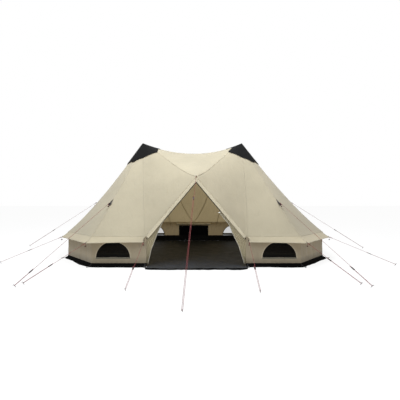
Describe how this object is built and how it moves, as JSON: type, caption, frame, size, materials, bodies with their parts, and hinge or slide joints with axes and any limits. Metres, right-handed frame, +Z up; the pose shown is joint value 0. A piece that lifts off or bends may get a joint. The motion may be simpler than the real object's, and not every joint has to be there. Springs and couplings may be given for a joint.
{
  "type": "bell tent",
  "caption": "Elongated bell tent: pitched cotton roof with peaked, capped ends, low walls with D-shaped windows, A-frame doorway, groundsheet, pegs and guy ropes with sliding runners.",
  "frame": {"origin": "on the ground under the middle of the ridge, on the underside of the groundsheet", "axes": "+X along the ridge to the right as seen from outside the door, the door faces -Y, +Z up"},
  "size_m": [10.6317, 7.9089, 3.212],
  "materials": {
    "canopy_cloth": "matte",
    "wall_cloth": "matte",
    "door_cloth": "matte",
    "cap_cloth": "matte",
    "mud_strip": "satin",
    "groundsheet": "satin",
    "hatch_cloth": "matte",
    "window_mesh": "matte",
    "guy_rope": "satin",
    "runner_plastic": "satin",
    "peg_steel": "satin",
    "ring_steel": "satin",
    "pole_steel": "satin",
    "frame_paint": "satin",
    "rubber": "matte"
  },
  "bodies": {
    "tent": {"canopy": "canopy_cloth", "door_flap_left": "door_cloth", "door_flap_right": "door_cloth", "door_frame_apex": "frame_paint", "door_frame_left_leg": "frame_paint", "door_frame_right_leg": "frame_paint", "door_hem": "canopy_cloth", "groundsheet": "groundsheet", "guy_rings": "ring_steel", "guy_rope_door": "guy_rope", "guy_rope_front_left_corner": "guy_rope", "guy_rope_front_left_inner": "guy_rope", "guy_rope_front_right_corner": "guy_rope", "guy_rope_front_right_inner": "guy_rope", "guy_rope_rear_left_corner": "guy_rope", "guy_rope_rear_left_inner": "guy_rope", "guy_rope_rear_right_corner": "guy_rope", "guy_rope_rear_right_inner": "guy_rope", "guy_rope_roof_left_end": "guy_rope", "guy_rope_roof_left_front": "guy_rope", "guy_rope_roof_left_rear": "guy_rope", "guy_rope_roof_right_end": "guy_rope", "guy_rope_roof_right_front": "guy_rope", "guy_rope_roof_right_rear": "guy_rope", "guy_rope_side_left_front": "guy_rope", "guy_rope_side_left_rear": "guy_rope", "guy_rope_side_right_front": "guy_rope", "guy_rope_side_right_rear": "guy_rope", "main_pole_left_lower": "pole_steel", "main_pole_left_upper": "pole_steel", "main_pole_right_lower": "pole_steel", "main_pole_right_upper": "pole_steel", "mud_strip": "mud_strip", "pegs": "peg_steel", "pole_feet": "rubber", "rear_hatch": "hatch_cloth", "rear_hatch_roll": "door_cloth", "vent_cap_left": "cap_cloth", "vent_cap_right": "cap_cloth", "walls": "wall_cloth", "window_mesh": "window_mesh"},
    "runner_door": {"guy_runner_door": "runner_plastic"},
    "runner_front_left_inner": {"guy_runner_front_left_inner": "runner_plastic"},
    "runner_front_left_corner": {"guy_runner_front_left_corner": "runner_plastic"},
    "runner_side_left_front": {"guy_runner_side_left_front": "runner_plastic"},
    "runner_roof_left_front": {"guy_runner_roof_left_front": "runner_plastic"},
    "runner_roof_left_end": {"guy_runner_roof_left_end": "runner_plastic"},
    "runner_side_left_rear": {"guy_runner_side_left_rear": "runner_plastic"},
    "runner_rear_left_corner": {"guy_runner_rear_left_corner": "runner_plastic"},
    "runner_rear_left_inner": {"guy_runner_rear_left_inner": "runner_plastic"},
    "runner_roof_left_rear": {"guy_runner_roof_left_rear": "runner_plastic"},
    "runner_front_right_inner": {"guy_runner_front_right_inner": "runner_plastic"},
    "runner_front_right_corner": {"guy_runner_front_right_corner": "runner_plastic"},
    "runner_side_right_front": {"guy_runner_side_right_front": "runner_plastic"},
    "runner_roof_right_front": {"guy_runner_roof_right_front": "runner_plastic"},
    "runner_roof_right_end": {"guy_runner_roof_right_end": "runner_plastic"},
    "runner_side_right_rear": {"guy_runner_side_right_rear": "runner_plastic"},
    "runner_rear_right_corner": {"guy_runner_rear_right_corner": "runner_plastic"},
    "runner_rear_right_inner": {"guy_runner_rear_right_inner": "runner_plastic"},
    "runner_roof_right_rear": {"guy_runner_roof_right_rear": "runner_plastic"}
  },
  "joints": [
    {"name": "runner_door_slide", "type": "slide", "parent": "tent", "child": "runner_door", "axis": [-0.0766, -0.7634, -0.6414], "range_m": [0, 0.2]},
    {"name": "runner_front_left_inner_slide", "type": "slide", "parent": "tent", "child": "runner_front_left_inner", "axis": [-0.0131, -0.9436, -0.3308], "range_m": [0, 0.2]},
    {"name": "runner_front_left_corner_slide", "type": "slide", "parent": "tent", "child": "runner_front_left_corner", "axis": [-0.4984, -0.7736, -0.3913], "range_m": [0, 0.2]},
    {"name": "runner_side_left_front_slide", "type": "slide", "parent": "tent", "child": "runner_side_left_front", "axis": [-0.8703, -0.3175, -0.3765], "range_m": [0, 0.2]},
    {"name": "runner_roof_left_front_slide", "type": "slide", "parent": "tent", "child": "runner_roof_left_front", "axis": [-0.3927, -0.7481, -0.5349], "range_m": [0, 0.2]},
    {"name": "runner_roof_left_end_slide", "type": "slide", "parent": "tent", "child": "runner_roof_left_end", "axis": [-0.8412, 0.2221, -0.493], "range_m": [0, 0.2]},
    {"name": "runner_side_left_rear_slide", "type": "slide", "parent": "tent", "child": "runner_side_left_rear", "axis": [-0.8222, 0.4008, -0.4042], "range_m": [0, 0.2]},
    {"name": "runner_rear_left_corner_slide", "type": "slide", "parent": "tent", "child": "runner_rear_left_corner", "axis": [-0.4481, 0.7975, -0.4039], "range_m": [0, 0.2]},
    {"name": "runner_rear_left_inner_slide", "type": "slide", "parent": "tent", "child": "runner_rear_left_inner", "axis": [-0.0575, 0.943, -0.3278], "range_m": [0, 0.2]},
    {"name": "runner_roof_left_rear_slide", "type": "slide", "parent": "tent", "child": "runner_roof_left_rear", "axis": [-0.3677, 0.7592, -0.537], "range_m": [0, 0.2]},
    {"name": "runner_front_right_inner_slide", "type": "slide", "parent": "tent", "child": "runner_front_right_inner", "axis": [-0.1063, -0.9444, -0.3113], "range_m": [0, 0.2]},
    {"name": "runner_front_right_corner_slide", "type": "slide", "parent": "tent", "child": "runner_front_right_corner", "axis": [0.3652, -0.8341, -0.4135], "range_m": [0, 0.2]},
    {"name": "runner_side_right_front_slide", "type": "slide", "parent": "tent", "child": "runner_side_right_front", "axis": [0.8112, -0.4529, -0.37], "range_m": [0, 0.2]},
    {"name": "runner_roof_right_front_slide", "type": "slide", "parent": "tent", "child": "runner_roof_right_front", "axis": [0.3486, -0.764, -0.5429], "range_m": [0, 0.2]},
    {"name": "runner_roof_right_end_slide", "type": "slide", "parent": "tent", "child": "runner_roof_right_end", "axis": [0.8527, 0.1146, -0.5097], "range_m": [0, 0.2]},
    {"name": "runner_side_right_rear_slide", "type": "slide", "parent": "tent", "child": "runner_side_right_rear", "axis": [0.8035, 0.4359, -0.4053], "range_m": [0, 0.2]},
    {"name": "runner_rear_right_corner_slide", "type": "slide", "parent": "tent", "child": "runner_rear_right_corner", "axis": [0.4227, 0.8127, -0.401], "range_m": [0, 0.2]},
    {"name": "runner_rear_right_inner_slide", "type": "slide", "parent": "tent", "child": "runner_rear_right_inner", "axis": [0.0318, 0.9454, -0.3242], "range_m": [0, 0.2]},
    {"name": "runner_roof_right_rear_slide", "type": "slide", "parent": "tent", "child": "runner_roof_right_rear", "axis": [0.3701, 0.7618, -0.5317], "range_m": [0, 0.2]}
  ]
}
